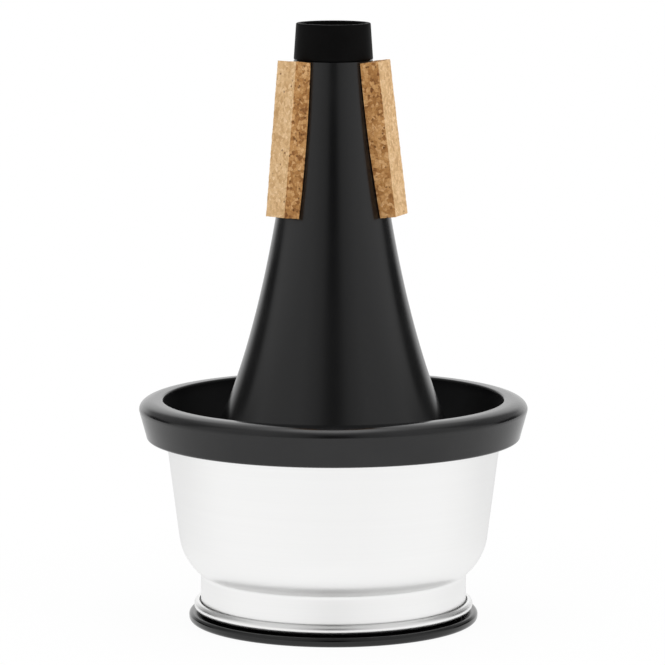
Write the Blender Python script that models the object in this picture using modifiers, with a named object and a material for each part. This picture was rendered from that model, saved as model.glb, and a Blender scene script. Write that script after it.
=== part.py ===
"""Adjustable cup mute for a trumpet, standing on its foot ring.

Lengths are in metres and +Z is up. Every round piece is turned about the world Z axis, the origin is the
middle of the foot ring's flat underside, and the front of the mute looks along -Y. A profile is a list of
(radius, height) points that runs down the outer side of its piece.
"""

import math

import bmesh
import bpy
from mathutils import Matrix, Vector

OBJECT_NAME = "trumpet_cup_mute"

# Fineness of the turned pieces
FACETS = 48
FLARE_STEPS = 11
WELD = 0.00001
SHARP_EDGE_DEG = 32.0

# Gap between pieces that touch, and between the skirt and what slides on it
SEAT_GAP = 0.0003
SLIDE_GAP = 0.0003

# Body: one aluminium spinning with a narrow cone, a flare, a straight skirt and a foot flange
BODY_WALL = 0.0008
THROAT_RADIUS = 0.0111
THROAT_SLOPE = 0.064
THROAT_REACH = 0.0467
FLARE_HEIGHT = 0.1013
FLARE_SLOPE = 0.46
FLARE_REACH = 0.0191
SHOULDER_SET_IN = 0.0031
SKIRT_RADIUS = 0.0350
SKIRT_HEIGHT = 0.0423
FLANGE_WIDTH = 0.0034
FLANGE_FILLET = 0.0006

# Throat sleeve: a moulding plugged into the narrow end
SLEEVE_HEIGHT = 0.0101
SLEEVE_WALL = 0.0014
SLEEVE_TOP_ROUND = 0.0004
SPIGOT_LENGTH = 0.0070
SPIGOT_WALL = 0.0009

# Cork strips: glued on the cone, evenly spaced, a little aslant
CORK_LENGTH = 0.0434
CORK_WIDTH = 0.0087
CORK_THICKNESS = 0.0042
CORK_TOP_INSET = 0.0002
CORK_SLANT_DEG = -1.5
CORK_BEARING_DEG = 6.4
CORK_NAMES = {"cork_strip_left": -60.0, "cork_strip_right": 60.0, "cork_strip_back": 180.0}

# End plate: a dished disc pressed into the wide end
PLATE_WALL = 0.0008
PLATE_RIM_HEIGHT = 0.0050
PLATE_CORNER = 0.0014
PLATE_PANEL_RADIUS = 0.0240
PLATE_PANEL_RISE = 0.0012
PLATE_STEP_WIDTH = 0.0030

# Foot ring: a rubber channel round the foot flange
FOOT_SOLE = 0.0008
FOOT_TOP_LIP = 0.0005
FOOT_RIM = 0.0023
FOOT_LEDGE = 0.0024
FOOT_ROUND = 0.0011

# Cup: one aluminium spinning with a beaded neck, a round bowl, a tapered wall and a flared mouth
CUP_WALL = 0.00085
BEAD_RADIUS = 0.00115
BEAD_STAND_OUT = 0.00135
BEAD_FILLET = 0.0002
NECK_HEIGHT = 0.00965
NECK_FILLET = 0.0020
BOWL_ARC = 0.0158
BOWL_STEP = 0.0060
WALL_HEIGHT = 0.0281
WALL_FLARE = 0.0036
MOUTH_ARC = 0.0140
MOUTH_SWEEP_DEG = 24.0

# Grip ring: a friction sleeve lining the cup's neck
GRIP_THICKNESS = 0.0012
GRIP_HEIGHT = 0.0076
GRIP_SET_UP = 0.0008
GRIP_LEAD_IN = 0.0004

# Rim edging: a thick rubber channel over the cup's mouth
EDGING_UNDERSIDE = 0.0056
EDGING_FACE_HEIGHT = 0.0084
EDGING_FACE_LEAN = 0.0020
EDGING_CROWN_HEIGHT = 0.0028
EDGING_CROWN_OUTSIDE = 0.0050
EDGING_CROWN_INSIDE = 0.0021
EDGING_SKIRT_WALL = 0.0009
EDGING_FOOT_ROUND = 0.0008

# Heights of the seats, worked up from the floor
FLANGE_BOTTOM = FOOT_SOLE + SEAT_GAP
SKIRT_TOP = FLANGE_BOTTOM + SKIRT_HEIGHT
FOOT_RING_TOP = FLANGE_BOTTOM + BODY_WALL + SEAT_GAP + FOOT_TOP_LIP
CUP_BOTTOM = FOOT_RING_TOP + SEAT_GAP
NECK_TOP = CUP_BOTTOM + NECK_HEIGHT
GRIP_BOTTOM = CUP_BOTTOM + GRIP_SET_UP

# Radii of the seats, worked out from the skirt
FLANGE_RADIUS = SKIRT_RADIUS + FLANGE_WIDTH
PLATE_RADIUS = SKIRT_RADIUS - BODY_WALL - SEAT_GAP
GRIP_INNER = SKIRT_RADIUS + SLIDE_GAP
GRIP_OUTER = GRIP_INNER + GRIP_THICKNESS
NECK_RADIUS = GRIP_OUTER + SEAT_GAP + CUP_WALL
WALL_LOW_RADIUS = NECK_RADIUS + BOWL_STEP
MOUTH_RADIUS = WALL_LOW_RADIUS + WALL_FLARE

# Colours (linear red, green, blue), roughness and metallic value of each material
MATERIALS = {
    "black_aluminium": ((0.012, 0.012, 0.013), 0.34, 0.6),
    "spun_aluminium": ((0.80, 0.80, 0.79), 0.22, 1.0),
    "black_rubber": ((0.020, 0.020, 0.022), 0.55, 0.0),
    "black_plastic": ((0.006, 0.006, 0.006), 0.60, 0.0),
    "cork": ((0.56, 0.36, 0.18), 0.85, 0.0),
    "grey_felt": ((0.10, 0.10, 0.10), 0.95, 0.0),
}


def arc(centre, radius, start_deg, end_deg, steps):
    """Points on a circle of the profile plane, with angles measured from outwards towards up."""
    points = []
    for index in range(steps + 1):
        angle = math.radians(start_deg + (end_deg - start_deg) * index / steps)
        points.append((centre[0] + radius * math.cos(angle), centre[1] + radius * math.sin(angle)))
    return points


def oval_arc(centre, width, height, start_deg, end_deg, steps):
    """Points on an ellipse of the profile plane, given by its half width and half height."""
    points = []
    for x, z in arc((0.0, 0.0), 1.0, start_deg, end_deg, steps):
        points.append((centre[0] + width * x, centre[1] + height * z))
    return points


def cubic_curve(handles, steps):
    """Points along the cubic curve with four handles."""
    points = []
    for index in range(steps + 1):
        t = index / steps
        weights = ((1 - t) ** 3, 3 * (1 - t) ** 2 * t, 3 * (1 - t) * t**2, t**3)
        point = sum((handle * weight for handle, weight in zip(handles, weights)), Vector((0.0, 0.0)))
        points.append((point.x, point.y))
    return points


def new_collection(name):
    """A collection linked to the scene."""
    collection = bpy.data.collections.new(name)
    bpy.context.scene.collection.children.link(collection)
    return collection


def new_material(name):
    """A Principled material from the table above."""
    colour, roughness, metallic = MATERIALS[name]
    material = bpy.data.materials.new(name)
    material.use_nodes = True
    shader = material.node_tree.nodes["Principled BSDF"]
    shader.inputs["Base Color"].default_value = (*colour, 1.0)
    shader.inputs["Roughness"].default_value = roughness
    shader.inputs["Metallic"].default_value = metallic
    material.diffuse_color = (*colour, 1.0)
    return material


def make_real(piece):
    """Replaces a piece's modifiers with their result and shades it smooth between its sharp edges."""
    bpy.context.view_layer.update()
    evaluated = piece.evaluated_get(bpy.context.evaluated_depsgraph_get())
    mesh = bpy.data.meshes.new_from_object(evaluated)
    old_mesh = piece.data
    piece.modifiers.clear()
    piece.data = mesh
    bpy.data.meshes.remove(old_mesh)
    mesh.name = piece.name
    mesh.shade_smooth()
    mesh.set_sharp_from_angle(angle=math.radians(SHARP_EDGE_DEG))


def turned_blank(name, profile, closed, collection):
    """An object whose profile, joined end to end where closed, is turned about Z by a Screw modifier."""
    mesh = bpy.data.meshes.new(name)
    sketch = bmesh.new()
    corners = [sketch.verts.new((radius, 0.0, height)) for radius, height in profile]
    for first, second in zip(corners, corners[1:]):
        sketch.edges.new((first, second))
    if closed:
        sketch.edges.new((corners[-1], corners[0]))
    sketch.to_mesh(mesh)
    sketch.free()
    blank = bpy.data.objects.new(name, mesh)
    collection.objects.link(blank)
    screw = blank.modifiers.new("turn", "SCREW")
    screw.axis = "Z"
    screw.angle = math.tau
    screw.steps = FACETS
    screw.render_steps = FACETS
    screw.use_merge_vertices = True
    screw.merge_threshold = WELD
    return blank


def turned_section(name, section, collection):
    """A moulded ring or tube: its closed section turned about Z."""
    piece = turned_blank(name, section, True, collection)
    make_real(piece)
    return piece


def spun_sheet(name, profile, wall, collection):
    """A metal spinning: its outer face turned about Z and thickened inwards by the wall."""
    piece = turned_blank(name, profile, False, collection)
    sheet = piece.modifiers.new("wall", "SOLIDIFY")
    sheet.thickness = wall
    sheet.offset = -1.0
    sheet.use_even_offset = True
    make_real(piece)
    return piece


def shoulder():
    """Radius of the shoulder's arc, the angle that it turns through and the height of the flare's foot."""
    turn = math.atan(FLARE_SLOPE)
    radius = SHOULDER_SET_IN / (1.0 - math.cos(turn))
    return radius, turn, SKIRT_TOP + radius * math.sin(turn)


def cone_top():
    """Height of the spun body's narrow end."""
    return shoulder()[2] + FLARE_HEIGHT


def flare_outline(steps):
    """The cone's outer face from the narrow end down to the foot of the flare."""
    top = Vector((THROAT_RADIUS, cone_top()))
    foot = Vector((SKIRT_RADIUS - SHOULDER_SET_IN, shoulder()[2]))
    leaving_top = Vector((THROAT_SLOPE, -1.0)).normalized() * THROAT_REACH
    reaching_foot = Vector((FLARE_SLOPE, -1.0)).normalized() * FLARE_REACH
    return cubic_curve((top, top + leaving_top, foot - reaching_foot, foot), steps)


def cone_radius_at(height):
    """Radius of the cone's outer face at a height in the flare."""
    outline = flare_outline(FLARE_STEPS)
    for upper, lower in zip(outline, outline[1:]):
        if lower[1] <= height <= upper[1]:
            share = (upper[1] - height) / (upper[1] - lower[1])
            return upper[0] + (lower[0] - upper[0]) * share
    return THROAT_RADIUS


def make_body_cone(collection):
    """Cone, flare, shoulder, skirt and foot flange, spun from one sheet."""
    radius, turn, _ = shoulder()
    flange_top = FLANGE_BOTTOM + BODY_WALL
    profile = flare_outline(FLARE_STEPS)
    profile += arc((SKIRT_RADIUS - radius, SKIRT_TOP), radius, math.degrees(turn), 0.0, 3)[1:]
    fillet_centre = (SKIRT_RADIUS + FLANGE_FILLET, flange_top + FLANGE_FILLET)
    profile += arc(fillet_centre, FLANGE_FILLET, 180.0, 270.0, 3)
    profile.append((FLANGE_RADIUS, flange_top))
    return spun_sheet("body_cone", profile, BODY_WALL, collection)


def make_throat_sleeve(collection):
    """Sleeve that carries the cone's line on above its narrow end, with a spigot down inside it."""
    bottom = cone_top() + SEAT_GAP
    top = bottom + SLEEVE_HEIGHT
    top_radius = THROAT_RADIUS - THROAT_SLOPE * SLEEVE_HEIGHT
    bore = top_radius - SLEEVE_WALL
    spigot_radius = THROAT_RADIUS - BODY_WALL - SEAT_GAP
    spigot_bottom = bottom - SPIGOT_LENGTH
    spigot_bore = spigot_radius - SPIGOT_WALL
    round_centre = (top_radius - SLEEVE_TOP_ROUND, top - SLEEVE_TOP_ROUND)
    profile = arc(round_centre, SLEEVE_TOP_ROUND, 90.0, 0.0, 2)
    profile.append((THROAT_RADIUS, bottom))
    profile.append((spigot_radius, bottom))
    profile.append((spigot_radius, spigot_bottom))
    profile.append((spigot_bore, spigot_bottom))
    profile.append((spigot_bore, bottom))
    profile += arc((bore + SLEEVE_TOP_ROUND, top - SLEEVE_TOP_ROUND), SLEEVE_TOP_ROUND, 180.0, 90.0, 2)
    return turned_section("throat_sleeve", profile, collection)


def make_cork_cutter(collection):
    """The cone's outer face grown by the glue line, as a solid that hollows the backs of the cork strips."""
    outline = [(radius + SEAT_GAP, height) for radius, height in flare_outline(FLARE_STEPS)]
    above = (outline[0][0], outline[0][1] + CORK_THICKNESS)
    profile = [(0.0, above[1]), above] + outline + [(0.0, outline[-1][1])]
    cutter = turned_blank("cork_cutter", profile, False, collection)
    cutter.hide_render = True
    cutter.display_type = "WIRE"
    return cutter


def make_cork_strip(name, bearing_deg, cutter, collection):
    """A flat-faced strip laid along the cone's slope, hollowed at the back to fit the cone."""
    upper_end = cone_top() - CORK_TOP_INSET
    upper_radius = cone_radius_at(upper_end)
    lean = math.atan((cone_radius_at(upper_end - CORK_LENGTH) - upper_radius) / CORK_LENGTH)
    lower_end = upper_end - CORK_LENGTH * math.cos(lean)
    middle_radius = (upper_radius + cone_radius_at(lower_end)) / 2
    depth = CORK_THICKNESS + SEAT_GAP + CORK_WIDTH / 2
    bpy.ops.mesh.primitive_cube_add(size=1.0)
    strip = bpy.context.active_object
    strip.name = name
    for owner in list(strip.users_collection):
        owner.objects.unlink(strip)
    collection.objects.link(strip)
    # The block lies with its outer face at CORK_THICKNESS above the cone's face, its back inside the cone
    size = Matrix.Diagonal((CORK_WIDTH, depth, CORK_LENGTH, 1.0))
    outwards = SEAT_GAP + CORK_THICKNESS - depth / 2
    place = Matrix.Translation((0.0, -middle_radius, (upper_end + lower_end) / 2))
    slope = Matrix.Rotation(-lean, 4, "X")
    slant = Matrix.Rotation(math.radians(CORK_SLANT_DEG), 4, "Y")
    turn = Matrix.Rotation(math.radians(bearing_deg), 4, "Z")
    shift = Matrix.Translation((0.0, -outwards, 0.0))
    strip.data.transform(turn @ place @ slope @ slant @ shift @ size)
    strip.data.name = name
    cut = strip.modifiers.new("cone_seat", "BOOLEAN")
    cut.operation = "DIFFERENCE"
    cut.solver = "EXACT"
    cut.object = cutter
    make_real(strip)
    return strip


def make_end_plate(collection):
    """Dished disc with an up-turned rim, pressed into the skirt above the foot ring's ledge."""
    bottom = FLANGE_BOTTOM
    rim_top = bottom + PLATE_RIM_HEIGHT
    panel = bottom + PLATE_PANEL_RISE
    profile = [(PLATE_RADIUS, rim_top)]
    profile += arc((PLATE_RADIUS - PLATE_CORNER, bottom + PLATE_CORNER), PLATE_CORNER, 0.0, -90.0, 3)
    profile.append((PLATE_PANEL_RADIUS + PLATE_STEP_WIDTH, bottom))
    profile.append((PLATE_PANEL_RADIUS, panel))
    profile.append((0.0, panel))
    return spun_sheet("end_plate", profile, PLATE_WALL, collection)


def make_foot_ring(collection):
    """Channel of rubber that wraps the foot flange and holds the end plate up on a ledge."""
    groove_radius = FLANGE_RADIUS + SEAT_GAP
    outer = groove_radius + FOOT_RIM
    groove_top = FLANGE_BOTTOM + BODY_WALL + SEAT_GAP
    collar = SKIRT_RADIUS + FLANGE_FILLET + SEAT_GAP
    profile = arc((outer - FOOT_ROUND, FOOT_RING_TOP - FOOT_ROUND), FOOT_ROUND, 90.0, 0.0, 3)
    profile += arc((outer - FOOT_ROUND, FOOT_ROUND), FOOT_ROUND, 0.0, -90.0, 3)
    profile.append((PLATE_RADIUS - FOOT_LEDGE, 0.0))
    profile.append((PLATE_RADIUS - FOOT_LEDGE, FOOT_SOLE))
    profile.append((groove_radius, FOOT_SOLE))
    profile.append((groove_radius, groove_top))
    profile.append((collar, groove_top))
    profile.append((collar, FOOT_RING_TOP))
    return turned_section("foot_ring", profile, collection)


def wall_lean():
    """Angle between the cup's wall and upright."""
    return math.atan(WALL_FLARE / WALL_HEIGHT)


def touching_height(circle_radius, fillet_radius, sideways):
    """Height between the centres of two circles that touch from outside, a sideways distance apart."""
    return math.sqrt((circle_radius + fillet_radius) ** 2 - sideways**2)


def bowl_centre():
    """Centre of the bowl's arc, which runs on from the wall and touches the neck's fillet."""
    radius = WALL_LOW_RADIUS - BOWL_ARC * math.cos(wall_lean())
    sideways = NECK_RADIUS + NECK_FILLET - radius
    return radius, NECK_TOP + touching_height(BOWL_ARC, NECK_FILLET, sideways)


def mouth_centre():
    """Centre of the mouth's arc, which runs on from the top of the wall."""
    wall_top = bowl_centre()[1] - BOWL_ARC * math.sin(wall_lean()) + WALL_HEIGHT
    return (
        MOUTH_RADIUS + MOUTH_ARC * math.cos(wall_lean()),
        wall_top - MOUTH_ARC * math.sin(wall_lean()),
    )


def mouth_arc(radius, start_deg, end_deg, steps):
    """Points round the mouth's centre at a radius, with angles measured as a lean from upright."""
    return arc(mouth_centre(), radius, 180.0 - start_deg, 180.0 - end_deg, steps)


def make_cup_shell(collection):
    """Mouth, wall, bowl, neck and bead, spun from one sheet."""
    lean = math.degrees(wall_lean())
    bowl = bowl_centre()
    fillet = (NECK_RADIUS + NECK_FILLET, NECK_TOP)
    underside = math.degrees(math.atan2(fillet[1] - bowl[1], fillet[0] - bowl[0]))
    profile = mouth_arc(MOUTH_ARC, lean + MOUTH_SWEEP_DEG, lean, 3)
    profile += arc(bowl, BOWL_ARC, -lean, underside, 6)
    profile += arc(fillet, NECK_FILLET, underside + 180.0, 180.0, 3)[1:]
    bead = (NECK_RADIUS + BEAD_STAND_OUT - BEAD_RADIUS, CUP_BOTTOM + BEAD_RADIUS)
    sideways = BEAD_RADIUS + BEAD_FILLET - BEAD_STAND_OUT
    cove = (NECK_RADIUS + BEAD_FILLET, bead[1] + touching_height(BEAD_RADIUS, BEAD_FILLET, sideways))
    bead_top = math.degrees(math.atan2(cove[1] - bead[1], cove[0] - bead[0]))
    profile += arc(cove, BEAD_FILLET, 180.0, 180.0 + bead_top, 2)
    profile += arc(bead, BEAD_RADIUS, bead_top, -90.0, 5)[1:]
    return spun_sheet("cup_shell", profile, CUP_WALL, collection)


def make_rim_edging(collection):
    """Rubber section with a groove that follows the flared mouth, two straight sides and a round crown."""
    lean = math.degrees(wall_lean())
    outer_leg = MOUTH_ARC - SEAT_GAP
    inner_leg = MOUTH_ARC + CUP_WALL + SEAT_GAP
    skirt = inner_leg + EDGING_SKIRT_WALL
    groove_end = lean + MOUTH_SWEEP_DEG + math.degrees(SEAT_GAP / MOUTH_ARC)
    groove_mouth = mouth_arc(outer_leg, lean, lean, 1)[0]
    underside = groove_mouth[1]
    foot_radius = MOUTH_RADIUS + EDGING_UNDERSIDE
    face_top = (foot_radius + EDGING_FACE_LEAN, underside + EDGING_FACE_HEIGHT)
    crown = (face_top[0] - EDGING_CROWN_OUTSIDE, face_top[1])
    profile = oval_arc(crown, EDGING_CROWN_OUTSIDE, EDGING_CROWN_HEIGHT, 90.0, 0.0, 5)
    corner = (foot_radius - EDGING_FOOT_ROUND, underside + EDGING_FOOT_ROUND)
    profile += arc(corner, EDGING_FOOT_ROUND, 0.0, -90.0, 2)
    profile += mouth_arc(outer_leg, lean, groove_end, 3)
    profile += mouth_arc(inner_leg, groove_end, lean, 3)
    profile.append(mouth_arc(skirt, lean, lean, 1)[0])
    profile += oval_arc(crown, EDGING_CROWN_INSIDE, EDGING_CROWN_HEIGHT, 180.0, 90.0, 4)[:-1]
    return turned_section("cup_rim_edging", profile, collection)


def make_neck_grip_ring(collection):
    """Sleeve with a chamfered lead-in at each end of its bore."""
    top = GRIP_BOTTOM + GRIP_HEIGHT
    profile = [
        (GRIP_OUTER, top),
        (GRIP_OUTER, GRIP_BOTTOM),
        (GRIP_INNER + GRIP_LEAD_IN, GRIP_BOTTOM),
        (GRIP_INNER, GRIP_BOTTOM + GRIP_LEAD_IN),
        (GRIP_INNER, top - GRIP_LEAD_IN),
        (GRIP_INNER + GRIP_LEAD_IN, top),
    ]
    return turned_section("neck_grip_ring", profile, collection)


def new_frame(name, collection, parent=None):
    """An empty on the turning axis that carries the pieces which move together."""
    empty = bpy.data.objects.new(name, None)
    empty.empty_display_size = SKIRT_RADIUS
    empty.parent = parent
    collection.objects.link(empty)
    return empty


def main():
    """Clears the scene and builds the mute."""
    for old in list(bpy.data.objects):
        bpy.data.objects.remove(old, do_unlink=True)
    parts = new_collection(OBJECT_NAME)
    cutters = new_collection("cutters")
    materials = {name: new_material(name) for name in MATERIALS}

    body = new_frame("mute_body", parts)
    slide = new_frame("cup_slide", parts, body)
    swivel = new_frame("cup_swivel", parts, slide)
    cutter = make_cork_cutter(cutters)

    carried = [
        (make_body_cone(parts), body, "black_aluminium"),
        (make_throat_sleeve(parts), body, "black_plastic"),
        (make_end_plate(parts), body, "black_aluminium"),
        (make_foot_ring(parts), body, "black_rubber"),
        (make_neck_grip_ring(parts), slide, "grey_felt"),
        (make_cup_shell(parts), swivel, "spun_aluminium"),
        (make_rim_edging(parts), swivel, "black_rubber"),
    ]
    for name, bearing_deg in CORK_NAMES.items():
        strip = make_cork_strip(name, CORK_BEARING_DEG + bearing_deg, cutter, parts)
        carried.append((strip, body, "cork"))
    for piece, frame, material in carried:
        piece.parent = frame
        piece.data.materials.clear()
        piece.data.materials.append(materials[material])


main()
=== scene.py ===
"""Looks of an adjustable cup mute for a trumpet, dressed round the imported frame.

Lengths are in metres, +Z is up, and every round piece is turned about the world Z axis. The mute stands on
its foot ring with its front towards -Y.
"""

import logging
import math
from dataclasses import dataclass, field
from enum import Enum

import bpy
from mathutils import Matrix, Vector


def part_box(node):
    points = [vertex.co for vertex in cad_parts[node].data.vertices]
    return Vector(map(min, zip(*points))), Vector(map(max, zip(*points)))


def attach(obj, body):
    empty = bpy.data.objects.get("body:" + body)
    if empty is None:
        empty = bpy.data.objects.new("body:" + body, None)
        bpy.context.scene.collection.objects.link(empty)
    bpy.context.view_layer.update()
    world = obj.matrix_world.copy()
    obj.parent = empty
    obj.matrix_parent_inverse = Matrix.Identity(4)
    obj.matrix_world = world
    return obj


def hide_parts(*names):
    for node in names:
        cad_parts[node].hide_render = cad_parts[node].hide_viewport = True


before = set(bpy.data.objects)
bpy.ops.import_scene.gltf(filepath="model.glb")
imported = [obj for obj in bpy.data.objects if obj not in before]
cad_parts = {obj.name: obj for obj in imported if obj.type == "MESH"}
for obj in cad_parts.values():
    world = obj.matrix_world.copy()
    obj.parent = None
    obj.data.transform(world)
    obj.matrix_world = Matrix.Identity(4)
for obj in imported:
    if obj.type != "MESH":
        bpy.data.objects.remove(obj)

LOG = logging.getLogger("cup_mute")

Point = tuple[float, float]
Place = tuple[float, float, float]
Colour = tuple[float, float, float]
Piece = bpy.types.Object
Node = bpy.types.Node
Socket = bpy.types.NodeSocket
Inputs = dict[str | int, object]

# Values that a noise mostly lies between, and what a vector is multiplied by to lay it level.
NOISE_SPAN: Point = (0.3, 0.7)
LEVEL: Place = (1.0, 1.0, 0.0)


class Body(Enum):
    """Bodies of the frame that the pieces ride on."""

    MUTE = "mute_body"
    GRIP = "grip_ring"
    CUP = "cup"


class CorkFace(Enum):
    """How a face of a cork strip was made; the sawn sides also carry painted shade."""

    SANDED = "sanded"
    SAWN = "sawn"


# Outlines and the workbench


@dataclass
class Outline:
    """Section of a turned piece as a chain of (radius, height) points.

    Attributes:
        points: the chain, in the order in which it is drawn.
    """

    points: list[Point] = field(default_factory=list)

    @staticmethod
    def at(centre: Point, radius: float, angle_deg: float) -> Point:
        """Point of a circle, by its angle from outwards towards up."""
        angle = math.radians(angle_deg)
        return centre[0] + radius * math.cos(angle), centre[1] + radius * math.sin(angle)

    def to(self, *corners: Point) -> "Outline":
        """Draws straight on through some corners."""
        self.points.extend(corners)
        return self

    def near(self, end: Point, steps: int) -> "Outline":
        """Draws straight towards a point in even steps, up to the last one before it.

        Args:
            end: the point.
            steps: number of steps that would reach it.

        Returns:
            This outline.
        """
        start = self.points[-1]
        for index in range(1, steps):
            self.to(tuple(a + (b - a) * index / steps for a, b in zip(start, end)))
        return self

    def arc(self, centre: Point, radius: float, start_deg: float, end_deg: float, steps: int) -> "Outline":
        """Draws a round stretch."""
        return self.oval(centre, (radius, radius), start_deg, end_deg, steps)

    def oval(self, centre: Point, half: Point, start_deg: float, end_deg: float, steps: int) -> "Outline":
        """Draws a stretch of an ellipse.

        Args:
            centre: middle of the ellipse.
            half: its half width and half height.
            start_deg: where the stretch starts, measured from outwards towards up.
            end_deg: where it ends.
            steps: number of straight steps that it is drawn in.

        Returns:
            This outline.
        """
        for index in range(steps + 1):
            angle = math.radians(start_deg + (end_deg - start_deg) * index / steps)
            self.points.append((centre[0] + half[0] * math.cos(angle), centre[1] + half[1] * math.sin(angle)))
        return self

    def curve(self, start: Vector, leaving: Vector, reaching: Vector, end: Vector, steps: int) -> "Outline":
        """Draws a cubic curve.

        Args:
            start: first point.
            leaving: handle that the curve leaves the first point by.
            reaching: handle that the curve reaches the last point by, as the way it runs there.
            end: last point.
            steps: number of straight steps that it is drawn in.

        Returns:
            This outline.
        """
        handles = (start, start + leaving, end - reaching, end)
        for index in range(steps + 1):
            t = index / steps
            weights = ((1 - t) ** 3, 3 * (1 - t) ** 2 * t, 3 * (1 - t) * t**2, t**3)
            point = sum((handle * weight for handle, weight in zip(handles, weights)), Vector((0.0, 0.0)))
            self.points.append((point.x, point.y))
        return self


@dataclass(frozen=True)
class Workbench:
    """Blender's modelling tools, used as by hand.

    Attributes:
        facets: number of steps round a turned piece.
        weld: distance under which two corners are one.
        smooth_deg: angle up to which faces are shaded into each other.
    """

    facets: int = 288
    weld: float = 0.000002
    smooth_deg: float = 40.0

    def clear(self) -> None:
        """Deselects everything."""
        bpy.ops.object.select_all(action="DESELECT")

    def pick(self, piece: Piece) -> None:
        """Makes a piece the only selected one and the active one.

        Args:
            piece: the piece.
        """
        self.clear()
        piece.select_set(True)
        bpy.context.view_layer.objects.active = piece

    def draw(self, name: str, outline: Outline, closed: bool) -> Piece:
        """Draws an outline in the XZ plane, extruded corner by corner from a single point.

        Args:
            name: name of the new piece.
            outline: the section to draw.
            closed: whether the last corner joins the first.

        Returns:
            The piece, still in edit mode.
        """
        self.clear()
        corners = outline.points + outline.points[:1] if closed else outline.points
        first = corners[0]
        bpy.ops.mesh.primitive_plane_add(size=self.weld, location=(first[0], 0.0, first[1]))
        piece = bpy.context.active_object
        piece.name = name
        piece.data.name = name
        bpy.ops.object.transform_apply(location=True, rotation=True, scale=True)
        bpy.ops.object.mode_set(mode="EDIT")
        bpy.ops.mesh.select_all(action="SELECT")
        bpy.ops.mesh.merge(type="CENTER")
        for before, after in zip(corners, corners[1:]):
            step = (after[0] - before[0], 0.0, after[1] - before[1])
            bpy.ops.mesh.extrude_vertices_move(TRANSFORM_OT_translate={"value": step})
        return piece

    def turn(self, name: str, outline: Outline, closed: bool = True) -> Piece:
        """Turns an outline about the world Z axis.

        Args:
            name: name of the new piece.
            outline: its section.
            closed: whether the section is a closed one.

        Returns:
            The turned piece, in object mode.
        """
        piece = self.draw(name, outline, closed)
        bpy.ops.mesh.select_all(action="SELECT")
        bpy.ops.mesh.spin(steps=self.facets, angle=math.tau, center=(0.0, 0.0, 0.0), axis=(0.0, 0.0, 1.0))
        bpy.ops.mesh.select_all(action="SELECT")
        bpy.ops.mesh.remove_doubles(threshold=self.weld)
        bpy.ops.mesh.normals_make_consistent(inside=False)
        bpy.ops.object.mode_set(mode="OBJECT")
        return piece

    def spin_sheet(self, name: str, outline: Outline, wall: float) -> Piece:
        """Turns the outer face of a metal spinning and gives it its wall inwards.

        Args:
            name: name of the new piece.
            outline: its outer face.
            wall: thickness of the sheet.

        Returns:
            The spinning, in object mode.
        """
        piece = self.turn(name, outline, closed=False)
        sheet = piece.modifiers.new("wall", "SOLIDIFY")
        sheet.thickness = wall
        sheet.offset = -1.0
        sheet.use_even_offset = True
        self.apply(piece)
        return piece

    def apply(self, piece: Piece) -> None:
        """Applies all of a piece's modifiers.

        Args:
            piece: the piece.
        """
        self.pick(piece)
        for modifier in list(piece.modifiers):
            bpy.ops.object.modifier_apply(modifier=modifier.name)

    def shade(self, piece: Piece) -> None:
        """Shades a piece smooth between its sharp edges."""
        self.pick(piece)
        bpy.ops.object.shade_smooth_by_angle(angle=math.radians(self.smooth_deg))


BENCH = Workbench()


# Finishes


@dataclass(frozen=True)
class Pattern:
    """Soft random pattern of a surface.

    Attributes:
        size: width of its patches.
        detail: number of finer layers on it.
        roughness: weight of the finer layers.
        depth: height of its relief.
        strength: share of the relief that shows.
    """

    size: float
    detail: float = 2.0
    roughness: float = 0.5
    depth: float = 0.0
    strength: float = 1.0


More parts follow.
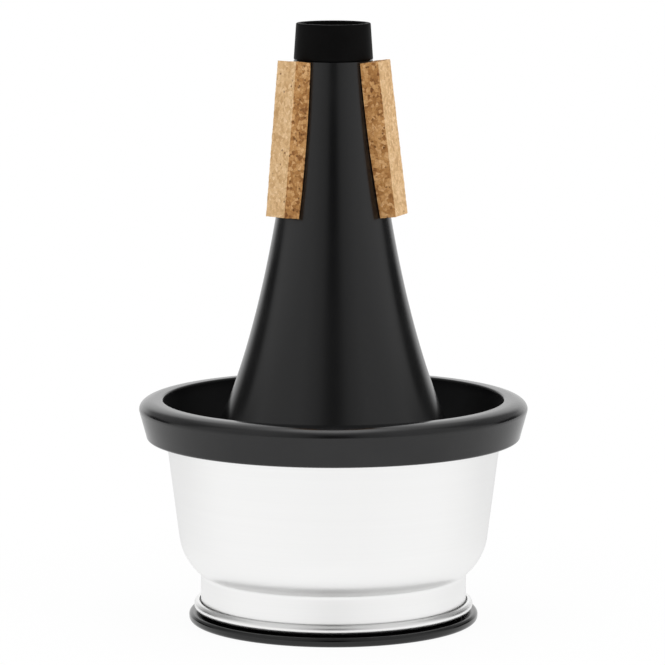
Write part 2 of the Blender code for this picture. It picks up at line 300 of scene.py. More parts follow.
class Wiring:
    """Nodes of a material or of the room, added and linked by short calls."""

    def __init__(self, tree: bpy.types.NodeTree) -> None:
        """Takes over a tree of nodes.

        Args:
            tree: the nodes of the material or of the room.
        """
        self.nodes = tree.nodes
        self.links = tree.links

    def feed(self, socket: Socket, value: object) -> None:
        """Links a socket to another one, or sets its value.

        Args:
            socket: the input.
            value: the other socket, or the value.
        """
        if isinstance(value, Socket):
            self.links.new(value, socket)
        else:
            socket.default_value = value

    def add(self, kind: str, inputs: Inputs | None = None, **settings: object) -> Node:
        """Adds a node.

        Args:
            kind: Blender's name for the type of node.
            inputs: values or sockets for its inputs, by name or number.
            **settings: values of its own properties.

        Returns:
            The node.
        """
        node = self.nodes.new(kind)
        for key, value in settings.items():
            setattr(node, key, value)
        for key, value in (inputs or {}).items():
            self.feed(node.inputs[key], value)
        return node

    def place(self) -> Socket:
        """Place on the piece, in metres."""
        return self.add("ShaderNodeTexCoord").outputs["Object"]

    def sum(self, operation: str, *values: object) -> Socket:
        """Result of a Math node."""
        return self.add("ShaderNodeMath", dict(enumerate(values)), operation=operation).outputs[0]

    def share(self, first: Socket, part: float, second: Socket) -> Socket:
        """A part of one value and the rest of another."""
        return self.sum("MULTIPLY_ADD", first, part, self.sum("MULTIPLY", second, 1.0 - part))

    def vector(self, operation: str, *values: object) -> Socket:
        """Result of a Vector Math node, which is a number for a length or a dot product."""
        node = self.add("ShaderNodeVectorMath", dict(enumerate(values)), operation=operation)
        return node.outputs["Value" if operation in ("LENGTH", "DOT_PRODUCT") else "Vector"]

    def axes(self, vector: Socket) -> bpy.types.bpy_prop_collection:
        """X, Y and Z of a vector, by their names."""
        return self.add("ShaderNodeSeparateXYZ", {0: vector}).outputs

    def turned_place(self, drift: float) -> Socket:
        """Place by radius and height, so that a pattern runs in rings.

        Args:
            drift: how far the rings wander in a turn, in metres.

        Returns:
            The place as a vector of radius and height, with a little of the bearing in both.
        """
        place = self.place()
        level = self.vector("MULTIPLY", place, LEVEL)
        way = self.axes(self.vector("NORMALIZE", level))
        along = self.sum("MULTIPLY_ADD", way["X"], drift, self.vector("LENGTH", level))
        up = self.sum("MULTIPLY_ADD", way["Y"], drift, self.axes(place)["Z"])
        return self.add("ShaderNodeCombineXYZ", {"X": along, "Y": up, "Z": 0.0}).outputs[0]

    def noise(self, place: Socket, pattern: Pattern) -> Socket:
        """Values of a pattern, from 0 to 1.

        Args:
            place: place to read it at.
            pattern: the pattern.

        Returns:
            The values.
        """
        inputs = {
            "Vector": place,
            "Scale": 1.0 / pattern.size,
            "Detail": pattern.detail,
            "Roughness": pattern.roughness,
        }
        return self.add("ShaderNodeTexNoise", inputs).outputs["Fac"]

    def cells(self, place: Socket, size: float, feature: str = "F1") -> Node:
        """Voronoi cells of a width in metres."""
        return self.add("ShaderNodeTexVoronoi", {"Vector": place, "Scale": 1.0 / size}, feature=feature)

    def random(self, cells: Node, number: int) -> Socket:
        """One of the three random values that each cell has."""
        return self.add("ShaderNodeSeparateColor", {0: cells.outputs["Color"]}).outputs[number]

    def span(self, value: Socket, low: float, high: float, to_low: float, to_high: float) -> Socket:
        """Stretches a value from one range to another, held at both ends."""
        inputs = {0: value, 1: low, 2: high, 3: to_low, 4: to_high}
        return self.add("ShaderNodeMapRange", inputs, clamp=True).outputs[0]

    def spread(self, noise: Socket, limits: Point) -> Socket:
        """Stretches a pattern's usual values between two limits."""
        return self.span(noise, *NOISE_SPAN, *limits)

    def ramp(self, value: Socket, stops: dict[float, Colour]) -> Socket:
        """Colour by value, through a few stops.

        Args:
            value: the value.
            stops: colours by the values that they stand at.

        Returns:
            The colour.
        """
        node = self.add("ShaderNodeValToRGB", {0: value})
        elements = node.color_ramp.elements
        while len(elements) < len(stops):
            elements.new(0.5)
        for element, (position, colour) in zip(elements, sorted(stops.items())):
            element.position = position
            element.color = (*colour, 1.0)
        return node.outputs["Color"]

    def tint(self, noise: Socket, first: Colour, last: Colour) -> Socket:
        """Colour by a pattern's usual values."""
        return self.ramp(noise, dict(zip(NOISE_SPAN, (first, last))))

    def mix(self, share: object, first: object, second: object, blend: str = "MIX") -> Socket:
        """Blend of two colours."""
        inputs = {0: share, 6: first, 7: second}
        return self.add("ShaderNodeMix", inputs, data_type="RGBA", blend_type=blend).outputs[2]

    def bump(self, height: Socket, pattern: Pattern, under: Socket | None = None) -> Socket:
        """Relief of the surface.

        Args:
            height: values of the pattern.
            pattern: the pattern, for the depth and strength of its relief.
            under: normal of a coarser relief below it.

        Returns:
            The normal.
        """
        inputs = {"Strength": pattern.strength, "Distance": pattern.depth, "Height": height}
        if under is not None:
            inputs["Normal"] = under
        return self.add("ShaderNodeBump", inputs).outputs["Normal"]


class Coating(Wiring):
    """Nodes of one Principled material."""

    def __init__(self, name: str) -> None:
        """Starts the material.

        Args:
            name: name of the material.
        """
        self.material = bpy.data.materials.new(name)
        self.material.use_nodes = True
        super().__init__(self.material.node_tree)
        self.shader = self.nodes["Principled BSDF"]

    def surface(self, **inputs: object) -> None:
        """Sets or links the shader's inputs, with the spaces in their names written as underscores."""
        for key, value in inputs.items():
            self.feed(self.shader.inputs[key.replace("_", " ")], value)


@dataclass(frozen=True)
class Finish:
    """A finish that a piece can be given.

    Attributes:
        name: name of its material.
    """

    name: str

    def wire(self, wiring: Coating) -> None:
        """Lays out the nodes of the finish."""
        raise NotImplementedError

    def material(self) -> bpy.types.Material:
        """The finish as a material, made when it is first asked for.

        Returns:
            The material.
        """
        made = bpy.data.materials.get(self.name)
        if made is None:
            wiring = Coating(self.name)
            self.wire(wiring)
            made = wiring.material
        return made


@dataclass(frozen=True)
class SatinEnamel(Finish):
    """Thin satin black enamel over spun aluminium, rubbed where the cup's felt slides.

    Attributes:
        colour: colour of the enamel.
        rubbed_colour: colour where the felt has rubbed it.
        rubbed_height: height up to which it is rubbed.
        rubbed_fade: height over which the rubbing fades out.
        rubbed_roughness: roughness that the rubbing adds.
        scuffs: pattern of the rubbed marks.
        scuffs_between: values of that pattern between which a mark sets in.
        lines: spinning lines that show through the enamel.
        peel: orange peel of the enamel.
        cloud: pattern of its gloss.
        gloss: lowest and highest roughness.
    """

    colour: Colour = (0.0036, 0.0036, 0.0038)
    rubbed_colour: Colour = (0.016, 0.016, 0.016)
    rubbed_height: float = 0.043
    rubbed_fade: float = 0.004
    rubbed_roughness: float = 0.18
    scuffs: Pattern = Pattern(0.0024, 5.0, 0.7)
    scuffs_between: Point = (0.5, 0.72)
    lines: Pattern = Pattern(0.0005, 3.0, depth=0.000004, strength=0.6)
    peel: Pattern = Pattern(0.0016, 1.0, depth=0.000004, strength=0.5)
    cloud: Pattern = Pattern(0.014, 3.0)
    gloss: Point = (0.17, 0.23)

    def wire(self, wiring: Coating) -> None:
        """Lays out enamel, spinning lines, orange peel and the rubbed skirt.

        Args:
            wiring: nodes of the material.
        """
        place = wiring.place()
        lines = wiring.noise(wiring.turned_place(self.lines.size / 3), self.lines)
        height = wiring.axes(place)["Z"]
        below = wiring.span(height, self.rubbed_height, self.rubbed_height - self.rubbed_fade, 0.0, 1.0)
        scuffs = wiring.span(wiring.noise(place, self.scuffs), *self.scuffs_between, 0.0, 1.0)
        rubbed = wiring.sum("MULTIPLY", below, scuffs)
        satin = wiring.spread(wiring.noise(place, self.cloud), self.gloss)
        wiring.surface(
            Base_Color=wiring.mix(rubbed, (*self.colour, 1.0), (*self.rubbed_colour, 1.0)),
            Roughness=wiring.sum("MULTIPLY_ADD", rubbed, self.rubbed_roughness, satin),
            Normal=wiring.bump(lines, self.lines, wiring.bump(wiring.noise(place, self.peel), self.peel)),
            Metallic=0.0,
            IOR=1.47,
        )


@dataclass(frozen=True)
class MattMoulding(Finish):
    """Dull black moulded plastic with a fine grain.

    Attributes:
        colour: colour of the plastic.
        paler: how much paler its palest places are.
        grain: grain of its skin.
        cloud: pattern of its colour.
        gloss: lowest and highest roughness.
    """

    colour: Colour = (0.0014, 0.0013, 0.0013)
    paler: float = 1.5
    grain: Pattern = Pattern(0.00022, 3.0, 0.6, 0.00002, 0.5)
    cloud: Pattern = Pattern(0.005)
    gloss: Point = (0.46, 0.58)

    def wire(self, wiring: Coating) -> None:
        """Lays out the plastic's grain and its slightly uneven dullness.

        Args:
            wiring: nodes of the material.
        """
        place = wiring.place()
        grain = wiring.noise(place, self.grain)
        pale = tuple(self.paler * part for part in self.colour)
        wiring.surface(
            Base_Color=wiring.tint(wiring.noise(place, self.cloud), self.colour, pale),
            Roughness=wiring.spread(grain, self.gloss),
            Normal=wiring.bump(grain, self.grain),
            Metallic=0.0,
            IOR=1.45,
            Specular_IOR_Level=0.07,
        )


@dataclass(frozen=True)
class SpunAluminium(Finish):
    """Bright aluminium with the rings that the spinning tool and the polishing pad leave.

    Attributes:
        bright: colour of the metal.
        dull: colour in the grooves of the rings, darker as painted shade.
        fine: the tool's rings.
        broad: the pad's rings.
        haze: pattern of its wear.
        fine_share: weight of the fine rings beside the broad ones.
        haze_share: weight of the wear beside the rings, in its gloss.
        gloss: lowest and highest roughness.
    """

    bright: Colour = (0.95, 0.95, 0.945)
    dull: Colour = (0.925, 0.925, 0.92)
    fine: Pattern = Pattern(0.00028, 2.0, 0.6, 0.000002, 0.4)
    broad: Pattern = Pattern(0.00196, depth=0.000002, strength=0.5)
    haze: Pattern = Pattern(0.02)
    fine_share: float = 0.65
    haze_share: float = 0.4
    gloss: Point = (0.29, 0.33)

    def wire(self, wiring: Coating) -> None:
        """Lays out rings of two widths with painted shade in their grooves, their gloss and the metal's
        streaked highlight.

        Args:
            wiring: nodes of the material.
        """
        fine = wiring.noise(wiring.turned_place(self.fine.size / 2), self.fine)
        broad = wiring.noise(wiring.turned_place(self.fine.size), self.broad)
        streak = wiring.share(fine, self.fine_share, broad)
        worn = wiring.share(wiring.noise(wiring.place(), self.haze), self.haze_share, streak)
        wiring.surface(
            # Grooves of the rings are tinted darker: painted shade.
            Base_Color=wiring.tint(streak, self.dull, self.bright),
            Roughness=wiring.spread(worn, self.gloss),
            Normal=wiring.bump(fine, self.fine, wiring.bump(broad, self.broad)),
            Tangent=wiring.add("ShaderNodeTangent", direction_type="RADIAL", axis="Z").outputs[0],
            Metallic=1.0,
            Anisotropic=0.3,
            Anisotropic_Rotation=0.25,
        )


@dataclass(frozen=True)
class MouldedRubber(Finish):
    """Black rubber with a fine skin.

    Attributes:
        colour: colour of the rubber.
        bloom: colour where it has bloomed a little.
        bloom_from: value of the cloud where the bloom sets in.
        skin: grain of its skin.
        cloud: pattern of its colour, gloss and unevenness.
        gloss: lowest and highest roughness.
        shine: strength of its reflections.
    """

    colour: Colour = (0.0035, 0.0035, 0.0038)
    bloom: Colour = (0.0060, 0.0060, 0.0064)
    bloom_from: float = 0.35
    skin: Pattern = Pattern(0.00030, 3.0, 0.6, 0.000007, 0.5)
    cloud: Pattern = Pattern(0.012, 3.0, 0.6, 0.00008, 0.3)
    gloss: Point = (0.13, 0.17)
    shine: float = 0.46

    def wire(self, wiring: Coating) -> None:
        """Lays out the skin's grain, the bloom and the uneven gloss.

        Args:
            wiring: nodes of the material.
        """
        place = wiring.place()
        cloud = wiring.noise(place, self.cloud)
        wiring.surface(
            Base_Color=wiring.ramp(cloud, {self.bloom_from: self.colour, NOISE_SPAN[1]: self.bloom}),
            Roughness=wiring.spread(cloud, self.gloss),
            Normal=wiring.bump(wiring.noise(place, self.skin), self.skin, wiring.bump(cloud, self.cloud)),
            Metallic=0.0,
            IOR=1.5,
            Specular_IOR_Level=self.shine,
        )


@dataclass(frozen=True)
class CorkCut:
    """Looks that a way of cutting gives a face of cork, with painted shade in the tans of the sawn sides.

    Attributes:
        tans: colours of the granules, from the darkest to the lightest.
        binder: how much of the binder between them shows.
        specks: values of a cell between which it holds a dark speck.
        pitting: strength of the pits.
    """

    tans: dict[float, Colour]
    binder: float
    specks: Point
    pitting: float


CORK_CUTS = {
    CorkFace.SANDED: CorkCut(
        tans={
            0.25: (0.48, 0.285, 0.12),
            0.45: (0.625, 0.40, 0.195),
            0.6: (0.70, 0.47, 0.25),
            0.8: (0.79, 0.565, 0.335),
        },
        binder=0.3,
        specks=(0.90, 0.93),
        pitting=0.5,
    ),
    # Sawn sides: more binder, specks and pits from the cut, and much darker tans as painted shade of the
    # sides.
    CorkFace.SAWN: CorkCut(
        tans={
            0.25: (0.155, 0.055, 0.014),
            0.42: (0.355, 0.165, 0.048),
            0.56: (0.475, 0.25, 0.088),
            0.76: (0.63, 0.38, 0.175),
        },
        binder=0.55,
        specks=(0.52, 0.56),
        pitting=0.8,
    ),
}


@dataclass(frozen=True)
class GroundCork(Finish):
    """Cork ground to granules and pressed into a block.

    Attributes:
        face: how the face was made, with painted shade on the sawn sides.
        granule: width of a granule.
        bend: how far the granules' edges bend.
        shade_share: weight of each granule's own shade.
        grain: grain in the granules.
        grain_share: weight of the grain.
        mottle: pattern of the whole block.
        mottle_share: weight of the mottling.
        darker: what is taken off the sum of the three.
        binder_width: width of the binder, as a share of a granule.
        binder_colour: colour of the binder.
        binder_pits: depth of the pits in the binder, as a share of those at the specks.
        speck_cell: width of the cells that can hold a speck.
        speck_edge: distances from a cell's middle between which its speck ends, as shares of the cell.
        speck_cover: how much a speck covers.
        speck_colour: colour of a speck.
        pit_depth: depth of the pits at the specks.
        gloss: lowest and highest roughness.
    """

    face: CorkFace = CorkFace.SANDED
    granule: float = 0.0009
    bend: float = 0.00072
    shade_share: float = 0.38
    grain: Pattern = Pattern(0.000225, 3.0, 0.7, 0.00006, 0.5)
    grain_share: float = 0.42
    mottle: Pattern = Pattern(0.0045, 3.0)
    mottle_share: float = 0.4
    darker: float = 0.1
    binder_width: float = 0.09
    binder_colour: Colour = (0.27, 0.12, 0.04)
    binder_pits: float = 0.5
    speck_cell: float = 0.00117
    speck_edge: Point = (0.12, 0.34)
    speck_cover: float = 0.9
    speck_colour: Colour = (0.10, 0.036, 0.009)
    pit_depth: float = 0.00012
    gloss: Point = (0.72, 0.9)

    def granules(self, wiring: Coating, place: Socket, grain: Socket) -> tuple[Socket, Socket]:
        """Shade of the granules, and where the binder between them shows.

        Args:
            wiring: nodes of the material.
            place: place on the piece.
            grain: values of the grain.

        Returns:
            The two as values, the second from nought to one.
        """
        warp = wiring.add("ShaderNodeTexNoise", {"Vector": place, "Scale": 1.0 / self.granule, "Detail": 2.0})
        shifted = wiring.vector("MULTIPLY_ADD", warp.outputs["Color"], (self.bend,) * 3, place)
        shade = wiring.random(wiring.cells(shifted, self.granule), 0)
        seams = wiring.cells(shifted, self.granule, "DISTANCE_TO_EDGE").outputs["Distance"]
        value = wiring.sum("MULTIPLY", grain, self.grain_share)
        value = wiring.sum("MULTIPLY_ADD", shade, self.shade_share, value)
        value = wiring.sum("SUBTRACT", value, self.darker)
        value = wiring.sum("MULTIPLY_ADD", wiring.noise(place, self.mottle), self.mottle_share, value)
        return value, wiring.span(seams, 0.0, self.binder_width, 1.0, 0.0)

    def specks(self, wiring: Coating, place: Socket, chosen_between: Point) -> Socket:
        """Where the dark specks are, in the cells that are chosen to hold one.

        Args:
            wiring: nodes of the material.
            place: place on the piece.
            chosen_between: values of a cell between which it holds a speck.

        Returns:
            The place of the specks, from nought to one.
        """
        cells = wiring.cells(place, self.speck_cell)
        near = wiring.span(cells.outputs["Distance"], *self.speck_edge, 1.0, 0.0)
        return wiring.sum("MULTIPLY", near, wiring.span(wiring.random(cells, 1), *chosen_between, 0.0, 1.0))

    def wire(self, wiring: Coating) -> None:
        """Lays out granules, the binder between them, dark specks and pits.

        Args:
            wiring: nodes of the material.
        """
        cut = CORK_CUTS[self.face]
        place = wiring.place()
        grain = wiring.noise(place, self.grain)
        value, binder = self.granules(wiring, place, grain)
        speck = self.specks(wiring, place, cut.specks)
        colour = wiring.ramp(value, cut.tans)
        for spots, cover, over in (
            (binder, cut.binder, self.binder_colour),
            (speck, self.speck_cover, self.speck_colour),
        ):
            colour = wiring.mix(wiring.sum("MULTIPLY", spots, cover), colour, (*over, 1.0))
        hollow = wiring.sum("MAXIMUM", speck, wiring.sum("MULTIPLY", binder, self.binder_pits))
        flat = wiring.sum("SUBTRACT", 1.0, hollow)
        pits = Pattern(self.speck_cell, depth=self.pit_depth, strength=cut.pitting)
        wiring.surface(
            Base_Color=colour,
            Roughness=wiring.spread(grain, self.gloss),
            Normal=wiring.bump(grain, self.grain, wiring.bump(flat, pits)),
            Metallic=0.0,
            IOR=1.35,
            Sheen_Weight=0.05,
        )


@dataclass(frozen=True)
class PressedFelt(Finish):
    """Dense dark grey felt.

    Attributes:
        dark: colour between the fibres, as painted shade.
        light: colour of the fibres.
        tuft: pattern of the fibres.
    """

    dark: Colour = (0.035, 0.035, 0.036)
    light: Colour = (0.14, 0.14, 0.14)
    tuft: Pattern = Pattern(0.0003, 5.0, 0.75, 0.0001, 0.9)

    def wire(self, wiring: Coating) -> None:
        """Lays out tangled fibres with painted shade between them, and their sheen.

        Args:
            wiring: nodes of the material.
        """
        tangle = wiring.noise(wiring.place(), self.tuft)
        wiring.surface(
            # Darker between the fibres: painted shade.
            Base_Color=wiring.tint(tangle, self.dark, self.light),
            Normal=wiring.bump(tangle, self.tuft),
            Roughness=0.95,
            Metallic=0.0,
            Sheen_Weight=0.3,
            Sheen_Roughness=0.5,
        )


ENAMEL = SatinEnamel("satin_black_enamel")
MOULDING = MattMoulding("matt_black_moulding")
BRIGHT_METAL = SpunAluminium("bright_spun_aluminium")
EDGING_RUBBER = MouldedRubber("edging_rubber_black")
# Dull copy of the edging rubber with weak reflections, used as painted shade on the faces inside the cup.
EDGING_PAINTED_SHADE = MouldedRubber("edging_rubber_painted_shade", gloss=(0.42, 0.50), shine=0.16)
FOOT_RUBBER = MouldedRubber(
    "foot_rubber_black", colour=(0.0012, 0.0012, 0.0013), bloom=(0.0024, 0.0024, 0.0025), gloss=(0.06, 0.10)
)
SANDED_CORK = GroundCork("ground_cork_sanded", CorkFace.SANDED)
# Finish of the sawn sides, darkened with painted shade.
SAWN_AND_SHADED_CORK = GroundCork("ground_cork_sawn_and_shaded", CorkFace.SAWN)
FELT = PressedFelt("pressed_grey_felt")


def dress(piece: Piece, node: str, body: Body, slot: str, *finishes: Finish) -> Piece:
    """Shades a piece, gives it its finishes and sets it in the place of its node.

    Args:
        piece: the finished piece.
        node: the node of the frame that it stands for.
        body: the body that it rides on.
        slot: name of the slot for its finish; not used.
        *finishes: its finishes, in the order of its material slots.

    Returns:
        The piece.
    """
    BENCH.shade(piece)
    piece.data.materials.clear()
    for finish in finishes:
        piece.data.materials.append(finish.material())
    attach(piece, body.value)
    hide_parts(node)
    LOG.info("%s: %d faces, stands for %s on %s", piece.name, len(piece.data.polygons), node, body.value)
    return piece


# Sub-assemblies


@dataclass(frozen=True)
class Fits:
    """Clearances that the pieces share.

    Attributes:
        seat: gap between pieces that touch.
        slide: gap between the skirt and the felt that slides on it.
    """

    seat: float = 0.0003
    slide: float = 0.0003


FITS = Fits()


@dataclass(frozen=True)
class Extent:
    """Heights and radius of a node of the frame.

    Attributes:
        bottom: its lowest height.
        top: its highest height.
        radius: its greatest radius, for a turned piece.
    """

    bottom: float
    top: float
    radius: float

    @classmethod
    def of(cls, node: str) -> "Extent":
        """Reads a node's extent from the frame."""
        low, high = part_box(node)
        return cls(low.z, high.z, high.x)


@dataclass
class SpunBody:
    """The mute's body: a narrow cone, a flare, a straight skirt and a foot flange, spun from one sheet.

    Attributes:
        wall: thickness of the sheet.
        throat_radius: outer radius of the narrow end.
        throat_slope: growth of the radius for each metre down, at the narrow end.
        throat_reach: length of the flare's handle at the narrow end.
        flare_slope: growth of the radius for each metre down, at the flare's foot.
        flare_reach: length of the flare's handle at its foot.
        shoulder_set_in: how far the flare's foot lies inside the skirt.
        skirt_radius: outer radius of the skirt.
        skirt_height: height of the skirt over its flange.
        flange_fillet: radius between the skirt and its flange.
        extent: heights and radius of its node.
    """

    wall: float = 0.0008
    throat_radius: float = 0.0111
    throat_slope: float = 0.064
    throat_reach: float = 0.0467
    flare_slope: float = 0.46
    flare_reach: float = 0.0191
    shoulder_set_in: float = 0.0031
    skirt_radius: float = 0.0350
    skirt_height: float = 0.0423
    flange_fillet: float = 0.0006
    extent: Extent = field(default_factory=lambda: Extent.of("body_cone"))

    def outline(self) -> Outline:
        """Outer face of the body, from the narrow end to the flange's edge.

        Returns:
            The face, as a chain.
        """
        turn = math.atan(self.flare_slope)
        radius = self.shoulder_set_in / (1.0 - math.cos(turn))
        skirt_top = self.extent.bottom + self.skirt_height
        flange_top = self.extent.bottom + self.wall
        outline = Outline().curve(
            Vector((self.throat_radius, self.extent.top)),
            Vector((self.throat_slope, -1.0)).normalized() * self.throat_reach,
            Vector((self.flare_slope, -1.0)).normalized() * self.flare_reach,
            Vector((self.skirt_radius - self.shoulder_set_in, skirt_top + radius * math.sin(turn))),
            steps=90,
        )
        outline.points.pop()
        outline.arc((self.skirt_radius - radius, skirt_top), radius, math.degrees(turn), 0.0, steps=14)
        fillet = (self.skirt_radius + self.flange_fillet, flange_top + self.flange_fillet)
        outline.near((self.skirt_radius, fillet[1]), steps=12)
        outline.arc(fillet, self.flange_fillet, 180.0, 270.0, steps=8)
        return outline.to((self.extent.radius, flange_top))

    def build(self) -> Piece:
        """Spins the body and enamels it."""
        piece = BENCH.spin_sheet("mute_cone", self.outline(), self.wall)
        return dress(piece, "body_cone", Body.MUTE, "black_aluminium", ENAMEL)


@dataclass
class ThroatSleeve:
    """Moulded sleeve on the narrow end, which carries the cone's line on above it.

    Attributes:
        body: the body that it is plugged into.
        wall: thickness of the part that shows.
        spigot_wall: thickness of the part inside the body.
        top_round: rounding of the mouth's edges.
        seam_round: rounding of the edge above the body.
        extent: heights and radius of its node.
    """

    body: SpunBody
    wall: float = 0.0014
    spigot_wall: float = 0.0009
    top_round: float = 0.0004
    seam_round: float = 0.00015
    extent: Extent = field(default_factory=lambda: Extent.of("throat_sleeve"))

    def build(self) -> Piece:
        """Turns the sleeve's section.

        Returns:
            The sleeve.
        """
        seam = self.body.extent.top + FITS.seat
        top_radius = self.body.throat_radius - self.body.throat_slope * (self.extent.top - seam)
        bore = top_radius - self.wall
        spigot = self.body.throat_radius - self.body.wall - FITS.seat
        rim = self.extent.top - self.top_round
        section = Outline().arc((top_radius - self.top_round, rim), self.top_round, 90.0, 0.0, steps=8)
        section.near((self.body.throat_radius, seam + self.seam_round), steps=10)
        corner = (self.body.throat_radius - self.seam_round, seam + self.seam_round)
        section.arc(corner, self.seam_round, 0.0, -90.0, steps=4)
        section.to((spigot, seam), (spigot, self.extent.bottom))
        section.to((spigot - self.spigot_wall, self.extent.bottom), (spigot - self.spigot_wall, seam))
        section.arc((bore + self.top_round, rim), self.top_round, 180.0, 90.0, steps=8)
        piece = BENCH.turn("throat_mouth_sleeve", section)
        return dress(piece, "throat_sleeve", Body.MUTE, "black_plastic", MOULDING)


@dataclass
class CorkSet:
    """Three strips of ground cork glued on the cone, a little aslant.

    Attributes:
        body: the body that they are glued on.
        target: the spun body's piece, which hollows their backs.
        length: length of a strip.
        width: width of a strip.
        thickness: thickness of a strip along its middle.
        top_inset: distance of the upper end below the body's end.
        slant_deg: slant of the strips.
        grid: width of the squares that a strip's faces are divided in.
        torn: depth of the torn granules.
        tears: width of the granules and of the larger chips, and the share of the depth that each has.
        sanded_within_deg: angle from a strip's outward way within which a face is a sanded one.
        bearings: bearing of each strip from the front, in degrees.
    """

    body: SpunBody
    target: Piece
    length: float = 0.0434
    width: float = 0.0087
    thickness: float = 0.0042
    top_inset: float = 0.0002
    slant_deg: float = -1.5
    grid: float = 0.00035
    torn: float = 0.00022
    tears: tuple[Point, ...] = ((0.0009, 1.0), (0.0030, 0.7))
    sanded_within_deg: float = 50.0
    bearings: dict[str, float] = field(default_factory=lambda: {"left": -53.6, "right": 66.4, "back": 186.4})

    def radius_at(self, height: float) -> float:
        """Radius of the cone's outer face at a height.

        Args:
            height: the height.

        Returns:
            The radius.
        """
        points = self.body.outline().points
        for upper, lower in zip(points, points[1:]):
            if lower[1] <= height <= upper[1]:
                share = (upper[1] - height) / (upper[1] - lower[1])
                return upper[0] + (lower[0] - upper[0]) * share
        return self.body.throat_radius

    def place(self, bearing_deg: float) -> Matrix:
        """Place of a strip, whose own middle is on the cone's face and whose own -Y points outwards.

        Args:
            bearing_deg: bearing of the strip from the front.

        Returns:
            The place, as a matrix.
        """
        upper_end = self.body.extent.top - self.top_inset
        upper_radius = self.radius_at(upper_end)
        lean = math.atan((self.radius_at(upper_end - self.length) - upper_radius) / self.length)
        lower_end = upper_end - self.length * math.cos(lean)
        middle_radius = (upper_radius + self.radius_at(lower_end)) / 2
        return (
            Matrix.Rotation(math.radians(bearing_deg), 4, "Z")
            @ Matrix.Translation((0.0, -middle_radius, (upper_end + lower_end) / 2))
            @ Matrix.Rotation(-lean, 4, "X")
            @ Matrix.Rotation(math.radians(self.slant_deg), 4, "Y")
        )

    def block(self, name: str) -> Piece:
        """A finely divided block, extruded from its outer face towards its back.

        Args:
            name: name of the new piece.

        Returns:
            The block, in object mode, with its back still flat.
        """
        BENCH.clear()
        across = round(self.width / self.grid)
        along = round(self.length / self.grid)
        deep = round(self.thickness / self.grid)
        outer = -(FITS.seat + self.thickness)
        bpy.ops.mesh.primitive_grid_add(
            x_subdivisions=across, y_subdivisions=along, size=1.0, rotation=(math.radians(90.0), 0.0, 0.0)
        )
        piece = bpy.context.active_object
        piece.name = name
        piece.data.name = name
        piece.scale = (self.width, self.length, 1.0)
        piece.location = (0.0, outer, 0.0)
        bpy.ops.object.transform_apply(location=True, rotation=True, scale=True)
        bpy.ops.object.mode_set(mode="EDIT")
        bpy.ops.mesh.select_all(action="SELECT")
        step = (self.thickness - self.grid) / deep
        for _ in range(deep):
            bpy.ops.mesh.extrude_region_move(TRANSFORM_OT_translate={"value": (0.0, step, 0.0)})
        bpy.ops.mesh.select_all(action="SELECT")
        bpy.ops.mesh.normals_make_consistent(inside=False)
        bpy.ops.object.mode_set(mode="OBJECT")
        return piece

    def seat_back(self, piece: Piece) -> None:
        """Draws the block's back on to the cone, less the glue line.

        Args:
            piece: the block, in its place.
        """
        reach = -(FITS.seat + self.grid) - self.grid / 4
        back = piece.vertex_groups.new(name="back")
        back.add([corner.index for corner in piece.data.vertices if corner.co.y > reach], 1.0, "REPLACE")
        skin = piece.vertex_groups.new(name="skin")
        skin.add([corner.index for corner in piece.data.vertices if corner.co.y <= reach], 1.0, "REPLACE")
        wrap = piece.modifiers.new("cone_seat", "SHRINKWRAP")
        wrap.wrap_method = "PROJECT"
        wrap.wrap_mode = "ABOVE_SURFACE"
        wrap.target = self.target
        wrap.offset = FITS.seat
        wrap.use_project_y = True
        wrap.use_positive_direction = True
        wrap.vertex_group = "back"

    def tear_skin(self, piece: Piece) -> None:
        """Presses granules and chips into the faces that show.

        Args:
            piece: the block, whose back is in its own vertex group.
        """
        for label, (size, share) in zip(("granules", "chips"), self.tears):
            pattern = bpy.data.textures.new(f"{piece.name}_{label}", "CLOUDS")
            pattern.noise_scale = size
            pattern.noise_depth = 2
            press = piece.modifiers.new(label, "DISPLACE")
            press.texture = pattern
            press.texture_coords = "LOCAL"
            press.mid_level = 0.5
            press.strength = self.torn * share
            press.vertex_group = "skin"

    def paint_faces(self, piece: Piece, outwards: Vector) -> None:
        """Gives the sanded finish to the outer face and the sawn one, darkened with painted shade, to the
        rest.

        Args:
            piece: the strip.
            outwards: way that its outer face looks.
        """
        limit = math.cos(math.radians(self.sanded_within_deg))
        for face in piece.data.polygons:
            face.material_index = 0 if face.normal.dot(outwards) > limit else 1

    def build(self) -> list[Piece]:
        """Cuts the strips and glues them on.

        Returns:
            The strips.
        """
        strips = []
        for side, bearing_deg in self.bearings.items():
            piece = self.block(f"cork_{side}")
            piece.matrix_world = self.place(bearing_deg)
            bpy.context.view_layer.update()
            self.seat_back(piece)
            self.tear_skin(piece)
            BENCH.apply(piece)
            bpy.ops.object.transform_apply(location=True, rotation=True, scale=True)
            dress(piece, f"cork_strip_{side}", Body.MUTE, "cork", SANDED_CORK, SAWN_AND_SHADED_CORK)
            self.paint_faces(piece, self.place(bearing_deg).to_3x3() @ Vector((0.0, -1.0, 0.0)))
            strips.append(piece)
        return strips


